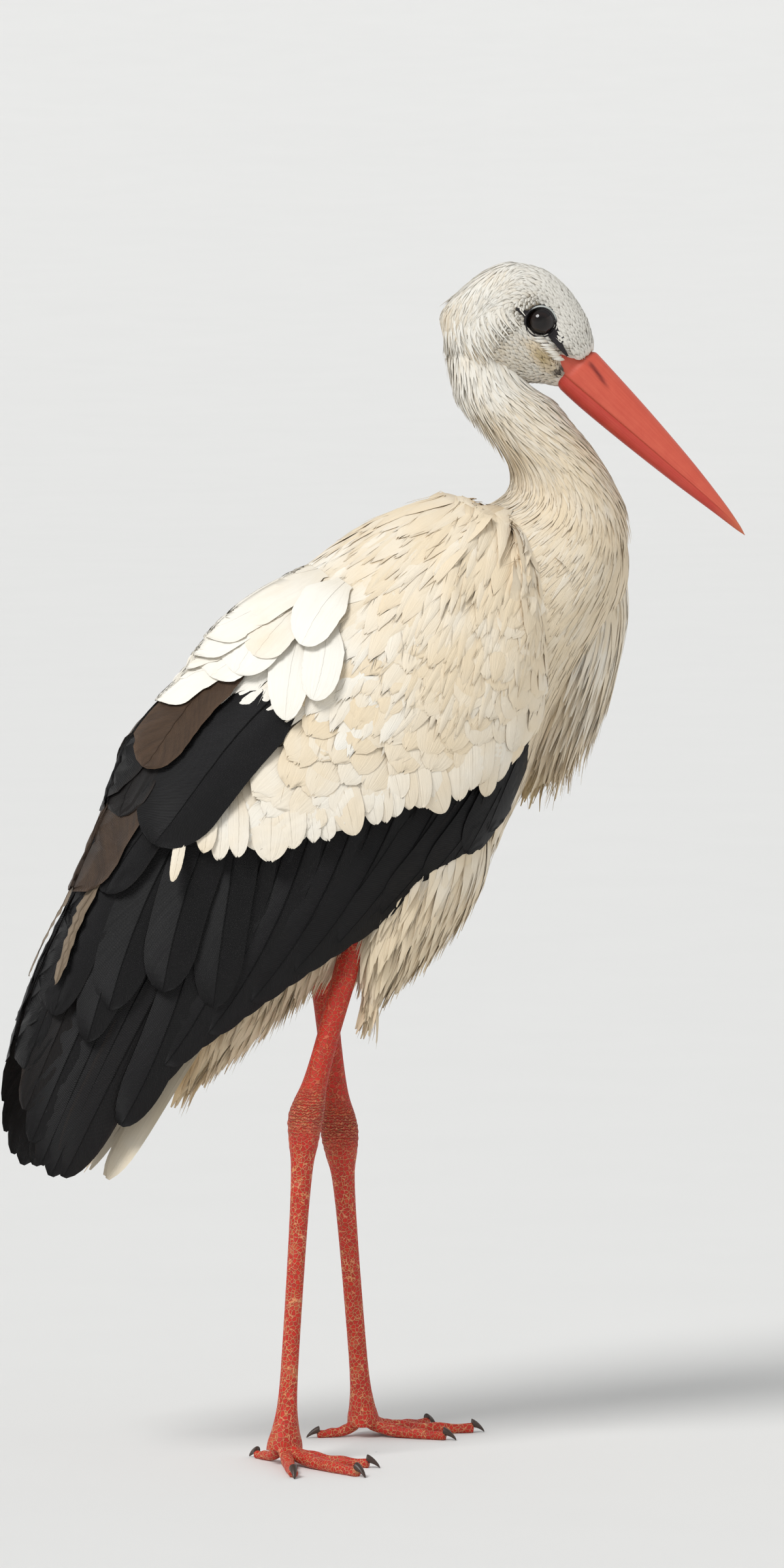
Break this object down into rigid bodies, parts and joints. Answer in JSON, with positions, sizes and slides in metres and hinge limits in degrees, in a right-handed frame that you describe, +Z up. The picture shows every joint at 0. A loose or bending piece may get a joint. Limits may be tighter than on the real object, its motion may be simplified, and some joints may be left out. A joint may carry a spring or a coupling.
{
  "type": "standing white stork model",
  "caption": "Life-size still model of a white stork at rest on both legs, wings folded, neck drawn in and the long bill pointing down and forward.",
  "frame": {"origin": "on the floor, under the middle of the bird's bounding box", "axes": "+X the way the bird faces, +Y to the bird's left, +Z up"},
  "size_m": [0.526, 0.2354, 0.8324],
  "materials": {
    "white_feather": "soft matte plumage, white to cream",
    "black_feather": "black flight feathers with a slight sheen",
    "bill_horn": "smooth red horn",
    "leg_skin": "scaly orange-red skin",
    "claw_horn": "dark horn",
    "eye_black": "glossy dark brown"
  },
  "bodies": {
    "root": {"ankle_left": "leg_skin", "ankle_right": "leg_skin", "bill_lower": "bill_horn", "bill_upper": "bill_horn", "breast_plumes": "white_feather", "claw_back_left": "claw_horn", "claw_back_right": "claw_horn", "claw_inner_left": "claw_horn", "claw_inner_right": "claw_horn", "claw_middle_left": "claw_horn", "claw_middle_right": "claw_horn", "claw_outer_left": "claw_horn", "claw_outer_right": "claw_horn", "eye_left": "eye_black", "eye_right": "eye_black", "head": "white_feather", "mantle": "white_feather", "neck_lower": "white_feather", "neck_upper": "white_feather", "shank_left": "leg_skin", "shank_right": "leg_skin", "tail": "white_feather", "tarsus_left": "leg_skin", "tarsus_right": "leg_skin", "thigh_left": "white_feather", "thigh_right": "white_feather", "toe_back_left": "leg_skin", "toe_back_right": "leg_skin", "toe_inner_left": "leg_skin", "toe_inner_right": "leg_skin", "toe_middle_left": "leg_skin", "toe_middle_right": "leg_skin", "toe_outer_left": "leg_skin", "toe_outer_right": "leg_skin", "trunk": "white_feather", "wing_coverts_left": "white_feather", "wing_coverts_right": "white_feather", "wing_primaries_left": "black_feather", "wing_primaries_right": "black_feather", "wing_secondaries_left": "black_feather", "wing_secondaries_right": "black_feather", "wing_tertials_left": "black_feather", "wing_tertials_right": "black_feather"}
  },
  "joints": []
}
